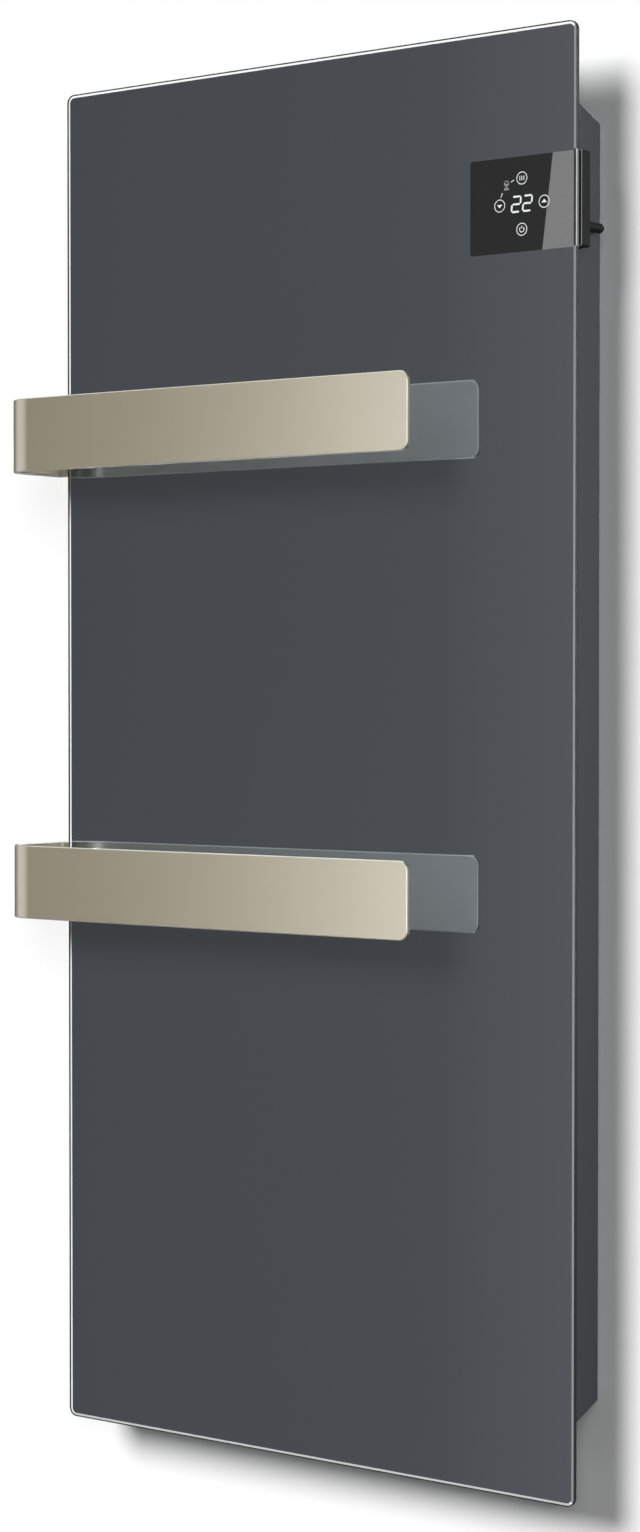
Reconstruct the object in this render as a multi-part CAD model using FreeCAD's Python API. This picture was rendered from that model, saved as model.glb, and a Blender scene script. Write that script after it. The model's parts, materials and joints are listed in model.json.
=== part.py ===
import FreeCAD, Part
import math
import os

# Towel warmer: a heated glass panel bonded to a folded casing, with two bent towel
# rails and a touch control, hung on two wall brackets.
# Frame: +X to the viewer's right, +Y into the wall, +Z up, in millimetres.
# The origin is the centre of the four wall fixing holes, on the wall's surface.
# A depth is measured back from the front face of the glass, towards the wall.

# Glass panel
glass_width = 500.0
glass_height = 1100.0
glass_thickness = 4.0
glass_corner_radius = 7.0
glass_arris = 0.8

# Bond between the glass and the casing's front flange
bond_thickness = 2.0
bond_width = 10.0
bond_margin = 1.0

# Casing, a folded sheet tray whose top and bottom slope in towards the wall
casing_inset = 6.0
casing_end_inset = 55.2
casing_rise = 1.2
casing_depth = 38.5
casing_taper = 15.5
casing_sheet = 1.2
casing_bend = 3.0
casing_flange = 12.0
wall_gap = 8.5

# Towel rails, flat bar bent round the left edge of the glass
rail_height = 60.0
rail_thickness = 4.0
rail_gap = 45.0
rail_overhang = 31.0
rail_reach = 382.5
rail_front_bend = 28.0
rail_rear_bend = 7.0
rail_end_radius = 7.5
rail_edge_chamfer = 0.5
rail_leg_depth = 22.0
rail_leg_length = 54.0
upper_rail_drop = 283.5
rail_spacing = 367.2

# Rail brackets inside the casing, and their fixings
bracket_sheet = 2.0
bracket_width = 40.0
bracket_lip = 11.0
bracket_rivet_spacing = 44.0
rail_screw_spacing = 36.0
rail_screw_radius = 2.45
rail_screw_head_radius = 4.75
rail_screw_head_height = 3.0
rail_screw_tip = 1.5
rail_screw_clearance = 0.25
rail_nut_flats = 8.0
rail_nut_height = 4.0
nut_thread_clearance = 0.05

# Plastic lining of the slots where the rails enter the casing
grommet_wall = 1.5
grommet_flange_width = 2.5
grommet_flange_thickness = 1.5
grommet_tail = 3.0
grommet_rail_clearance = 0.3
grommet_slot_clearance = 0.1

# Blind rivets
rivet_radius = 1.95
rivet_head_radius = 4.0
rivet_head_height = 1.2
rivet_tail_radius = 2.9
rivet_tail_height = 1.8
rivet_hole_clearance = 0.1

# Heated layers on the back of the glass
foil_thickness = 0.4
foil_clearance = 3.0
insulation_thickness = 12.0
insulation_clearance = 1.0
control_recess_clearance = 2.0

# Touch control, behind the glass at the upper right
control_width = 99.4
control_height = 71.0
control_depth = 11.4
control_proud = 2.2
control_drop = 130.2
control_bond = 0.2
control_corner_radius = 2.0
control_edge_chamfer = 0.4
control_wall = 2.0
control_floor = 2.4
control_notch_clearance = 0.7
fascia_thickness = 2.0
control_boss_radius = 2.6
control_boss_margin = 1.0
control_screw_radius = 1.1
control_screw_head_radius = 2.1
control_screw_head_height = 1.5
control_screw_recess = 1.7
control_screw_length = 6.0
control_screw_clearance = 0.1
touch_board_thickness = 1.6
touch_board_clearance = 0.5
touch_board_post_radius = 3.0
touch_board_post_spacing = 40.0
display_width = 20.0
display_height = 14.0
display_thickness = 3.1
display_from_left = 45.6
display_from_bottom = 34.8
key_spacing_x = 20.2
key_spacing_z = 19.0
touch_contact_radius = 4.0

# Room temperature sensor probe on the rear of the control
probe_radius = 3.8
probe_length = 22.8
probe_from_bottom = 16.6
probe_casing_clearance = 0.4
probe_spigot_radius = 2.0
probe_spigot_tail = 1.5
probe_spigot_clearance = 0.05

# Power board on stand-offs, below the control
board_width = 120.0
board_height = 80.0
board_thickness = 1.6
board_right_inset = 42.0
board_below_control = 34.0
board_hole_inset = 5.0
standoff_radius = 3.5
standoff_height = 6.0
board_screw_radius = 1.4
board_screw_head_radius = 2.8
board_screw_head_height = 2.0
board_screw_length = 6.0
board_screw_clearance = 0.1
relay_width = 20.0
relay_height = 16.0
relay_depth = 15.0
module_width = 34.0
module_height = 20.0
module_depth = 14.0
component_rise = 34.0
relay_from_left = 10.0
module_from_left = 52.0

# Wiring, all of it held inside the casing
lead_radius = 1.4
lead_bend = 6.0
lead_depth = 27.0
lead_landing = 12.0
lead_hole_radius = 5.2
heater_lead_from_left = 32.0
heater_lead_spacing = 12.0
heater_lead_drop = 50.0
foil_terminal_size = 7.0
foil_terminal_thickness = 0.8
cutout_from_left = 70.0
cutout_radius = 8.0
cutout_height = 8.0
cutout_clearance = 0.6
cutout_lead_spacing = 8.0
control_lead_radius = 2.0
control_lead_from_right = 20.0
control_lead_rise = 20.0
lead_hole_clearance = 0.2

# Supply entry at the bottom right of the casing
gland_right_inset = 94.0
gland_from_bottom = 36.0
gland_bore_radius = 4.2
gland_barrel_radius = 7.0
gland_barrel_length = 9.0
gland_flange_radius = 10.0
gland_flange_thickness = 2.0
gland_hole_clearance = 0.1
gland_nut_flats = 20.0
gland_nut_height = 4.0
terminal_width = 28.0
terminal_height = 20.0
terminal_depth = 16.0
terminal_pitch = 8.0
terminal_above_gland = 10.0
terminal_screw_radius = 2.2
terminal_screw_depth = 6.0
supply_lead_depth = 31.0
supply_lead_from_left = 12.0
clip_width = 20.0
clip_height = 8.0
clip_cover = 2.5
clip_count = 3
clip_spacing = 170.0
earth_rise = 30.0
earth_stud_radius = 2.0
earth_stud_length = 13.0
earth_nut_flats = 7.0
earth_nut_height = 3.2
earth_tag_thickness = 0.8
earth_tag_width = 9.0
earth_tag_length = 12.0

# Hanging: cleats on the casing's rear drop over the lips of the wall brackets
hanger_inset = 164.8
fixing_spacing = 300.0
fixing_hole_radius = 2.75
wall_bracket_length = 360.0
wall_bracket_sheet = 2.0
wall_bracket_plate = 40.0
wall_bracket_lip = 18.0
wall_bracket_casing_gap = 0.3
cleat_length = 320.0
cleat_sheet = 2.0
cleat_flange = 26.0
cleat_tongue = 14.0
cleat_lip_gap = 0.4
cleat_seat_gap = 0.1
cleat_rivet_spacing = 93.0
cleat_rivet_count = 4

# Places worked out from the sizes above
cut_margin = 5.0
left_edge = -glass_width / 2
right_edge = glass_width / 2
top_edge = glass_height / 2
casing_front = glass_thickness + bond_thickness
casing_rear = casing_front + casing_depth
casing_floor = casing_rear - casing_sheet
casing_half_width = glass_width / 2 - casing_inset
casing_half_height = glass_height / 2 - casing_end_inset
casing_slope = casing_taper / casing_depth
glass_front_y = -(casing_rear + wall_gap)
rail_leg_rear = rail_leg_depth + rail_thickness
rail_leg_end = -casing_half_width + rail_leg_length
upper_rail_z = top_edge - upper_rail_drop
lower_rail_z = upper_rail_z - rail_spacing
control_right = right_edge + control_proud
control_left = control_right - control_width
control_bottom = top_edge - control_drop - control_height / 2
control_top = control_bottom + control_height
fascia_front = glass_thickness + control_bond
fascia_back = fascia_front + fascia_thickness
control_rear = fascia_front + control_depth
touch_board_front = fascia_back + display_thickness
display_x = control_left + display_from_left
display_z = control_bottom + display_from_bottom
foil_back = glass_thickness + foil_thickness
insulation_back = foil_back + insulation_thickness
board_right = casing_half_width - board_right_inset
board_left = board_right - board_width
board_top = control_bottom - board_below_control
board_bottom = board_top - board_height
board_back = casing_floor - standoff_height
board_front = board_back - board_thickness
landing_z = board_bottom + lead_landing
heater_lead_z = board_bottom - heater_lead_drop
heater_lead_places = [board_left + heater_lead_from_left + i * heater_lead_spacing for i in range(2)]
cutout_x = board_left + cutout_from_left
gland_x = casing_half_width - gland_right_inset
gland_z = casing_rise - casing_half_height + casing_taper + gland_from_bottom
terminal_bottom = gland_z + gland_flange_radius + terminal_above_gland
terminal_top = terminal_bottom + terminal_height
terminal_x = board_left + supply_lead_from_left + terminal_pitch
supply_lead_places = [terminal_x - terminal_pitch, terminal_x]
earth_x = terminal_x + terminal_pitch
earth_z = terminal_top + earth_rise
bracket_places = [upper_rail_z, lower_rail_z]
hanger_z = casing_half_height - hanger_inset
hanger_places = [hanger_z, -hanger_z]


def y_at(depth):
    return glass_front_y + depth


def block(x0, x1, d0, d1, z0, z1):
    corner = FreeCAD.Vector(x0, y_at(d0), z0)
    return Part.makeBox(x1 - x0, d1 - d0, z1 - z0, corner)


def rod(x, z, d0, d1, radius):
    return Part.makeCylinder(radius, d1 - d0, FreeCAD.Vector(x, y_at(d0), z), FreeCAD.Vector(0, 1, 0))


def hexagon(x, z, d0, d1, flats):
    reach = flats / math.sqrt(3)
    corners = []
    for i in range(6):
        angle = math.radians(60 * i)
        corners.append(FreeCAD.Vector(x + reach * math.cos(angle), y_at(d0), z + reach * math.sin(angle)))
    face = Part.Face(Part.makePolygon(corners + corners[:1]))
    return face.extrude(FreeCAD.Vector(0, d1 - d0, 0))


def profile_along_x(points, x0, x1):
    corners = [FreeCAD.Vector(x0, y, z) for y, z in points]
    face = Part.Face(Part.makePolygon(corners + corners[:1]))
    return face.extrude(FreeCAD.Vector(x1 - x0, 0, 0))


def edges_along_y(shape):
    return [e for e in shape.Edges if e.BoundBox.XLength < 1e-6 and e.BoundBox.ZLength < 1e-6]


def rounded_plate(x0, x1, d0, d1, z0, z1, radius):
    plate = block(x0, x1, d0, d1, z0, z1)
    return plate.makeFillet(radius, edges_along_y(plate))


def edges_at_depth(shape, depth):
    y = y_at(depth)
    return [e for e in shape.Edges if abs(e.BoundBox.YMin - y) < 1e-6 and abs(e.BoundBox.YMax - y) < 1e-6]


def lead(points, radius, bend):
    # A lead with straight runs, joined by a tangent arc at each inner point.
    edges = []
    start = points[0]
    for before, corner, after in zip(points, points[1:], points[2:]):
        inward = (before - corner).normalize()
        onward = (after - corner).normalize()
        half_turn = (math.pi - inward.getAngle(onward)) / 2
        cut_back = bend * math.tan(half_turn)
        arc_start = corner + inward * cut_back
        arc_end = corner + onward * cut_back
        towards_centre = (inward + onward).normalize()
        middle = corner + towards_centre * (bend / math.cos(half_turn) - bend)
        edges.append(Part.LineSegment(start, arc_start).toShape())
        edges.append(Part.Arc(arc_start, middle, arc_end).toShape())
        start = arc_end
    edges.append(Part.LineSegment(start, points[-1]).toShape())
    path = Part.Wire(edges)
    section = Part.Wire([Part.makeCircle(radius, points[0], points[1] - points[0])])
    return path.makePipeShell([section], True, False)


def lead_in_plane(x, stops, radius):
    # A lead at one X, through stops given as depth and height.
    points = [FreeCAD.Vector(x, y_at(depth), z) for depth, z in stops]
    return lead(points, radius, lead_bend)


def control_cutter(clearance, d0, d1):
    # The corner of a layer that makes way for the control.
    far_right = right_edge + cut_margin
    return block(control_left - clearance, far_right, d0, d1, control_bottom - clearance, top_edge)


# Glass panel
def make_glass():
    half_width = glass_width / 2
    radius = glass_corner_radius
    plate = rounded_plate(-half_width, half_width, 0, glass_thickness, -top_edge, top_edge, radius)
    rims = edges_at_depth(plate, 0) + edges_at_depth(plate, glass_thickness)
    return plate.makeChamfer(glass_arris, rims)


# Heated layers
def make_foil():
    half_width = casing_half_width - bond_margin - bond_width - foil_clearance
    half_height = casing_half_height - bond_margin - bond_width - foil_clearance
    low = casing_rise - half_height
    high = casing_rise + half_height
    sheet = block(-half_width, half_width, glass_thickness, foil_back, low, high)
    return sheet.cut(control_cutter(foil_clearance, glass_thickness - cut_margin, foil_back + cut_margin))


def make_foil_terminals():
    half = foil_terminal_size / 2
    low = heater_lead_z - half
    back = foil_back + foil_terminal_thickness
    tabs = []
    for x in heater_lead_places:
        tabs.append(block(x - half, x + half, foil_back, back, low, low + foil_terminal_size))
    return Part.makeCompound(tabs)


def make_insulation():
    half_width = casing_half_width - casing_flange - insulation_clearance
    half_height = casing_half_height - casing_flange - insulation_clearance
    low = casing_rise - half_height
    high = casing_rise + half_height
    board = block(-half_width, half_width, foil_back, insulation_back, low, high)
    start = foil_back - cut_margin
    end = insulation_back + cut_margin
    board = board.cut(control_cutter(control_recess_clearance, start, end))
    for x in heater_lead_places:
        board = board.cut(rod(x, heater_lead_z, start, end, lead_hole_radius))
    return board.cut(rod(cutout_x, heater_lead_z, start, end, cutout_radius + cutout_clearance))


def make_bond_frame():
    outer_x = casing_half_width - bond_margin
    outer_z = casing_half_height - bond_margin
    inner_x = outer_x - bond_width
    inner_z = outer_z - bond_width
    low = casing_rise - outer_z
    high = casing_rise + outer_z
    corner = casing_bend
    ring = rounded_plate(-outer_x, outer_x, glass_thickness, casing_front, low, high, corner)
    start = glass_thickness - cut_margin
    end = casing_front + cut_margin
    ring = ring.cut(block(-inner_x, inner_x, start, end, casing_rise - inner_z, casing_rise + inner_z))
    low = control_bottom - control_notch_clearance
    high = control_top + control_notch_clearance
    return ring.cut(block(0, right_edge + cut_margin, start, end, low, high))


# Casing
def casing_prism(half_width, d0, d1, half_height_at_d0, radius):
    # A block with sloping ends, all its edges rounded but those of its front.
    half_height_at_d1 = half_height_at_d0 - casing_slope * (d1 - d0)
    points = [
        (y_at(d0), casing_rise - half_height_at_d0),
        (y_at(d0), casing_rise + half_height_at_d0),
        (y_at(d1), casing_rise + half_height_at_d1),
        (y_at(d1), casing_rise - half_height_at_d1),
    ]
    prism = profile_along_x(points, -half_width, half_width)
    bends = [e for e in prism.Edges if e.BoundBox.YMax > y_at(d0) + 1e-6]
    return prism.makeFillet(radius, bends)


def rail_slot(z, clearance, x0, x1):
    # The rail's rear leg, grown by a clearance all round.
    low = z - rail_height / 2 - clearance
    high = z + rail_height / 2 + clearance
    return block(x0, x1, rail_leg_depth - clearance, rail_leg_rear + clearance, low, high)


def bracket_rivet_places():
    near = rail_leg_end - bracket_width + bracket_sheet + bracket_lip / 2
    far = rail_leg_end - bracket_sheet - bracket_lip / 2
    half = bracket_rivet_spacing / 2
    return [(x, z + side * half) for z in bracket_places for x in (near, far) for side in (-1, 1)]


def cleat_rivet_places():
    first = -cleat_rivet_spacing * (cleat_rivet_count - 1) / 2
    columns = [first + i * cleat_rivet_spacing for i in range(cleat_rivet_count)]
    return [(x, cleat_seat_z(z) + cleat_sheet + cleat_flange / 2) for z in hanger_places for x in columns]


def make_casing():
    end_wall = casing_sheet * math.sqrt(1 + casing_slope ** 2)
    outer = casing_prism(casing_half_width, casing_front, casing_rear, casing_half_height, casing_bend)
    inner_front = casing_front + casing_sheet
    inner_half_height = casing_half_height - casing_slope * casing_sheet - end_wall
    inner_width = casing_half_width - casing_sheet
    inner_bend = casing_bend - casing_sheet
    tray = outer.cut(casing_prism(inner_width, inner_front, casing_floor, inner_half_height, inner_bend))
    mouth_x = casing_half_width - casing_flange
    mouth_z = casing_half_height - casing_flange
    start = casing_front - cut_margin
    mouth_end = inner_front + casing_sheet
    mouth_low = casing_rise - mouth_z
    mouth_high = casing_rise + mouth_z
    tray = tray.cut(block(-mouth_x, mouth_x, start, mouth_end, mouth_low, mouth_high))
    # Notch in the right side for the control.
    notch_low = control_bottom - control_notch_clearance
    notch_high = control_top + control_notch_clearance
    notch_end = control_rear + control_notch_clearance
    far_right = right_edge + cut_margin
    tray = tray.cut(block(mouth_x - casing_sheet, far_right, start, notch_end, notch_low, notch_high))
    # Slots in the left side for the rails' rear legs.
    slot_clearance = grommet_rail_clearance + grommet_wall + grommet_slot_clearance
    for z in bracket_places:
        far_left = -casing_half_width - cut_margin
        tray = tray.cut(rail_slot(z, slot_clearance, far_left, far_left + 2 * cut_margin))
    # Holes in the rear wall for the rivets and the gland.
    hole_start = casing_floor - cut_margin
    hole_end = casing_rear + cut_margin
    hole_radius = rivet_radius + rivet_hole_clearance
    rivet_places = bracket_rivet_places() + cleat_rivet_places()
    holes = [rod(x, z, hole_start, hole_end, hole_radius) for x, z in rivet_places]
    holes.append(rod(gland_x, gland_z, hole_start, hole_end, gland_barrel_radius + gland_hole_clearance))
    return tray.cut(holes)


# Towel rails and what holds them
def make_rail(z):
    front = -(rail_gap + rail_thickness)
    back = -rail_gap
    outside = left_edge - rail_overhang
    inside = outside + rail_thickness
    end = left_edge + rail_reach
    front_centre = FreeCAD.Vector(outside + rail_front_bend, front + rail_front_bend, 0)
    rear_centre = FreeCAD.Vector(outside + rail_rear_bend, rail_leg_rear - rail_rear_bend, 0)

    def at(x, depth):
        return FreeCAD.Vector(x, y_at(depth), z - rail_height / 2)

    def bend(centre, radius, from_angle, to_angle):
        points = []
        for angle in (from_angle, (from_angle + to_angle) / 2, to_angle):
            turn = math.radians(angle)
            points.append(at(centre.x + radius * math.cos(turn), centre.y + radius * math.sin(turn)))
        return points

    outer_front = bend(front_centre, rail_front_bend, 270, 180)
    outer_rear = bend(rear_centre, rail_rear_bend, 180, 90)
    inner_rear = bend(rear_centre, rail_rear_bend - rail_thickness, 90, 180)
    inner_front = bend(front_centre, rail_front_bend - rail_thickness, 180, 270)
    bends = [outer_front, outer_rear, inner_rear, inner_front]
    joins = [[], [at(rail_leg_end, rail_leg_rear), at(rail_leg_end, rail_leg_depth)], [], []]
    edges = []
    place = at(end, front)
    for arc, corners in zip(bends, joins):
        edges.append(Part.LineSegment(place, arc[0]).toShape())
        edges.append(Part.Arc(*arc).toShape())
        place = arc[2]
        for corner in corners:
            edges.append(Part.LineSegment(place, corner).toShape())
            place = corner
    edges.append(Part.LineSegment(place, at(end, back)).toShape())
    edges.append(Part.LineSegment(at(end, back), at(end, front)).toShape())
    bar = Part.Face(Part.Wire(edges)).extrude(FreeCAD.Vector(0, 0, rail_height))

    end_corners = [e for e in edges_along_y(bar) if abs(e.BoundBox.XMax - end) < 1e-6]
    bar = bar.makeFillet(rail_end_radius, end_corners)

    def is_rim(edge):
        box = edge.BoundBox
        across = box.XLength < 1e-6 and box.ZLength < 1e-6
        upright = box.XLength < 1e-6 and box.YLength < 1e-6 and box.XMax < end - 1e-6
        at_leg_end = box.XMin > rail_leg_end - 1e-6 and box.YMin > y_at(0)
        return not across and not upright and not at_leg_end

    bar = bar.makeChamfer(rail_edge_chamfer, [e for e in bar.Edges if is_rim(e)])
    hole_radius = rail_screw_radius + rail_screw_clearance
    hole_start = rail_leg_depth - cut_margin
    hole_end = rail_leg_rear + cut_margin
    for x, screw_z in rail_screw_places(z):
        bar = bar.cut(rod(x, screw_z, hole_start, hole_end, hole_radius))
    return bar


def rail_screw_places(z):
    x = rail_leg_end - bracket_width / 2
    return [(x, z + side * rail_screw_spacing / 2) for side in (-1, 1)]


def make_rail_bracket(z):
    near = rail_leg_end - bracket_width
    low = z - rail_height / 2
    high = z + rail_height / 2
    channel = block(near, rail_leg_end, rail_leg_rear, casing_floor, low, high)
    plate_back = rail_leg_rear + bracket_sheet
    lip_front = casing_floor - bracket_sheet
    hollow_low = low - cut_margin
    hollow_high = high + cut_margin
    web_x0 = near + bracket_sheet
    web_x1 = rail_leg_end - bracket_sheet
    channel = channel.cut(block(web_x0, web_x1, plate_back, lip_front, hollow_low, hollow_high))
    gap_x0 = web_x0 + bracket_lip
    gap_x1 = web_x1 - bracket_lip
    gap_end = casing_floor + cut_margin
    channel = channel.cut(block(gap_x0, gap_x1, plate_back, gap_end, hollow_low, hollow_high))
    screw_hole = rail_screw_radius + rail_screw_clearance
    hole_start = rail_leg_rear - cut_margin
    hole_end = plate_back + cut_margin
    for x, screw_z in rail_screw_places(z):
        channel = channel.cut(rod(x, screw_z, hole_start, hole_end, screw_hole))
    rivet_hole = rivet_radius + rivet_hole_clearance
    for x, rivet_z in bracket_rivet_places():
        if low < rivet_z < high:
            channel = channel.cut(rod(x, rivet_z, lip_front - cut_margin, gap_end, rivet_hole))
    return channel


def make_rail_screws():
    screws = []
    tip = rail_leg_rear + bracket_sheet + rail_nut_height + rail_screw_tip
    for z in bracket_places:
        for x, screw_z in rail_screw_places(z):
            head_front = rail_leg_depth - rail_screw_head_height
            head = rod(x, screw_z, head_front, rail_leg_depth, rail_screw_head_radius)
            screws.append(head.fuse(rod(x, screw_z, rail_leg_depth, tip, rail_screw_radius)))
    return Part.makeCompound(screws)


def make_rail_nuts():
    nuts = []
    front = rail_leg_rear + bracket_sheet
    back = front + rail_nut_height
    thread = rail_screw_radius + nut_thread_clearance
    for z in bracket_places:
        for x, screw_z in rail_screw_places(z):
            nut = hexagon(x, screw_z, front, back, rail_nut_flats)
            nuts.append(nut.cut(rod(x, screw_z, front - cut_margin, back + cut_margin, thread)))
    return Part.makeCompound(nuts)


def make_slot_grommet(z):
    outside = -casing_half_width - grommet_flange_thickness
    inside = -casing_half_width + casing_sheet + grommet_tail
    body = rail_slot(z, grommet_rail_clearance + grommet_wall, outside, inside)
    flange_clearance = grommet_rail_clearance + grommet_wall + grommet_flange_width
    flange = rail_slot(z, flange_clearance, outside, -casing_half_width)
    hole = rail_slot(z, grommet_rail_clearance, outside - cut_margin, inside + cut_margin)
    return body.fuse(flange).removeSplitter().cut(hole)


# Blind rivets, each with its head on the outside and its tail in the casing
def rivet(x, z, head_depth, grip):
    head = rod(x, z, head_depth, head_depth + rivet_head_height, rivet_head_radius)
    shank = rod(x, z, head_depth - grip, head_depth, rivet_radius)
    tail = rod(x, z, head_depth - grip - rivet_tail_height, head_depth - grip, rivet_tail_radius)
    return head.fuse([shank, tail])


def make_bracket_rivets():
    grip = casing_sheet + bracket_sheet
    return Part.makeCompound([rivet(x, z, casing_rear, grip) for x, z in bracket_rivet_places()])


def make_cleat_rivets():
    grip = casing_sheet + cleat_sheet
    head_depth = casing_rear + cleat_sheet
    return Part.makeCompound([rivet(x, z, head_depth, grip) for x, z in cleat_rivet_places()])


# Touch control
def control_boss_places():
    inset = control_wall + control_boss_radius + control_boss_margin
    columns = (control_left + inset, control_right - inset)
    rows = (control_bottom + inset, control_top - inset)
    return [(x, z) for x in columns for z in rows]


def control_plate(d0, d1):
    radius = control_corner_radius
    return rounded_plate(control_left, control_right, d0, d1, control_bottom, control_top, radius)


def make_control_fascia():
    plate = control_plate(fascia_front, fascia_back)
    plate = plate.makeChamfer(control_edge_chamfer, edges_at_depth(plate, fascia_front))
    boss_end = control_rear - control_floor
    pilot = control_screw_radius + control_screw_clearance
    pilot_end = control_rear - control_screw_recess - control_screw_length - control_screw_clearance
    for x, z in control_boss_places():
        plate = plate.fuse(rod(x, z, fascia_back, boss_end, control_boss_radius))
        plate = plate.cut(rod(x, z, pilot_end, boss_end + cut_margin, pilot))
    return plate


def make_control_housing():
    tub = control_plate(fascia_back, control_rear)
    floor = control_rear - control_floor
    x0 = control_left + control_wall
    x1 = control_right - control_wall
    z0 = control_bottom + control_wall
    z1 = control_top - control_wall
    tub = tub.cut(block(x0, x1, fascia_back - cut_margin, floor, z0, z1))
    through = control_screw_radius + control_screw_clearance
    recess = control_screw_head_radius + control_screw_clearance
    outside = control_rear + cut_margin
    for x, z in control_boss_places():
        tub = tub.cut(rod(x, z, floor - cut_margin, outside, through))
        tub = tub.cut(rod(x, z, control_rear - control_screw_recess, outside, recess))
    post_front = touch_board_front + touch_board_thickness
    for side in (-1, 1):
        x = (control_left + control_right + side * touch_board_post_spacing) / 2
        tub = tub.fuse(rod(x, display_z, post_front, floor, touch_board_post_radius))
    probe_x, probe_z = probe_place()
    spigot_hole = probe_spigot_radius + probe_spigot_clearance
    tub = tub.cut(rod(probe_x, probe_z, floor - cut_margin, outside, spigot_hole))
    lead_x, lead_z = control_lead_place()
    lead_hole = control_lead_radius + lead_hole_clearance
    return tub.cut(rod(lead_x, lead_z, floor - cut_margin, outside, lead_hole))


def make_touch_board():
    inset = control_wall + touch_board_clearance
    x0 = control_left + inset
    x1 = control_right - inset
    z0 = control_bottom + inset
    z1 = control_top - inset
    back = touch_board_front + touch_board_thickness
    board = block(x0, x1, touch_board_front, back, z0, z1)
    # Each corner is cut away round its boss.
    reach = control_boss_radius + touch_board_clearance
    for x, z in control_boss_places():
        outward_x = math.copysign(1, x - display_x)
        outward_z = math.copysign(1, z - display_z)
        corner_x = sorted((x - outward_x * reach, x + outward_x * cut_margin))
        corner_z = sorted((z - outward_z * reach, z + outward_z * cut_margin))
        corner = block(*corner_x, touch_board_front - cut_margin, back + cut_margin, *corner_z)
        board = board.cut(corner)
    return board


def make_display_module():
    x0 = display_x - display_width / 2
    z0 = display_z - display_height / 2
    return block(x0, x0 + display_width, fascia_back, touch_board_front, z0, z0 + display_height)


def make_touch_contacts():
    places = [(display_x + side * key_spacing_x, display_z) for side in (-1, 1)]
    places += [(display_x, display_z + side * key_spacing_z) for side in (-1, 1)]
    pads = [rod(x, z, fascia_back, touch_board_front, touch_contact_radius) for x, z in places]
    return Part.makeCompound(pads)


def make_control_screws():
    screws = []
    seat = control_rear - control_screw_recess
    for x, z in control_boss_places():
        head = rod(x, z, seat, seat + control_screw_head_height, control_screw_head_radius)
        screws.append(head.fuse(rod(x, z, seat - control_screw_length, seat, control_screw_radius)))
    return Part.makeCompound(screws)


def probe_place():
    return casing_half_width + probe_casing_clearance + probe_radius, control_bottom + probe_from_bottom


def make_sensor_probe():
    x, z = probe_place()
    dome_depth = control_rear + probe_length - probe_radius
    body = rod(x, z, control_rear, dome_depth, probe_radius)
    dome = Part.makeSphere(probe_radius, FreeCAD.Vector(x, y_at(dome_depth), z))
    spigot_front = control_rear - control_floor - probe_spigot_tail
    spigot = rod(x, z, spigot_front, control_rear, probe_spigot_radius)
    return body.fuse([dome, spigot]).removeSplitter()


# Power board
def board_hole_places():
    columns = (board_left + board_hole_inset, board_right - board_hole_inset)
    rows = (board_bottom + board_hole_inset, board_top - board_hole_inset)
    return [(x, z) for x in columns for z in rows]


def make_power_board():
    board = block(board_left, board_right, board_front, board_back, board_bottom, board_top)
    hole = board_screw_radius + board_screw_clearance
    for x, z in board_hole_places():
        board = board.cut(rod(x, z, board_front - cut_margin, board_back + cut_margin, hole))
    return board


def make_standoffs():
    posts = []
    hole = board_screw_radius + board_screw_clearance
    for x, z in board_hole_places():
        post = rod(x, z, board_back, casing_floor, standoff_radius)
        hole_end = board_front + board_screw_length + board_screw_clearance
        posts.append(post.cut(rod(x, z, board_back - cut_margin, hole_end, hole)))
    return Part.makeCompound(posts)


def make_board_screws():
    screws = []
    for x, z in board_hole_places():
        head = rod(x, z, board_front - board_screw_head_height, board_front, board_screw_head_radius)
        shank = rod(x, z, board_front, board_front + board_screw_length, board_screw_radius)
        screws.append(head.fuse(shank))
    return Part.makeCompound(screws)


def board_component(from_left, width, height, depth):
    x0 = board_left + from_left
    z0 = board_bottom + component_rise
    return block(x0, x0 + width, board_front - depth, board_front, z0, z0 + height)


# Wiring
def stops_to_board(start, z):
    # Back from a start depth, along the casing, then on to the power board.
    return [(start, z), (lead_depth, z), (lead_depth, landing_z), (board_front, landing_z)]


def make_heater_leads():
    stops = stops_to_board(foil_back + foil_terminal_thickness, heater_lead_z)
    return Part.makeCompound([lead_in_plane(x, stops, lead_radius) for x in heater_lead_places])


def make_thermal_cutout():
    return rod(cutout_x, heater_lead_z, foil_back, foil_back + cutout_height, cutout_radius)


def make_cutout_leads():
    stops = stops_to_board(foil_back + cutout_height, heater_lead_z)
    places = [cutout_x + side * cutout_lead_spacing / 2 for side in (-1, 1)]
    return Part.makeCompound([lead_in_plane(x, stops, lead_radius) for x in places])


def control_lead_place():
    return board_right - control_lead_from_right, control_bottom + control_lead_rise


def make_control_lead():
    x, z = control_lead_place()
    stops = stops_to_board(control_rear - control_floor, z)
    return lead_in_plane(x, stops, control_lead_radius)


def make_supply_leads():
    end_z = landing_z + lead_bend
    stops = [(supply_lead_depth, terminal_top), (supply_lead_depth, end_z), (board_front, end_z)]
    leads = []
    for x in supply_lead_places:
        points = [FreeCAD.Vector(x, y_at(depth), z) for depth, z in stops]
        leads.append(lead(points, lead_radius, (board_front - supply_lead_depth) / 2))
    return Part.makeCompound(leads)


def make_lead_clips():
    clips = []
    left = sum(supply_lead_places) / len(supply_lead_places) - clip_width / 2
    front = supply_lead_depth - lead_radius - clip_cover
    hole = lead_radius + lead_hole_clearance
    run_middle = (terminal_top + board_bottom) / 2
    for i in range(clip_count):
        low = run_middle + (i - (clip_count - 1) / 2) * clip_spacing - clip_height / 2
        clip = block(left, left + clip_width, front, casing_floor, low, low + clip_height)
        for x in supply_lead_places:
            foot = FreeCAD.Vector(x, y_at(supply_lead_depth), low - cut_margin)
            clip = clip.cut(Part.makeCylinder(hole, clip_height + 2 * cut_margin, foot))
        clips.append(clip)
    return Part.makeCompound(clips)


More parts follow.
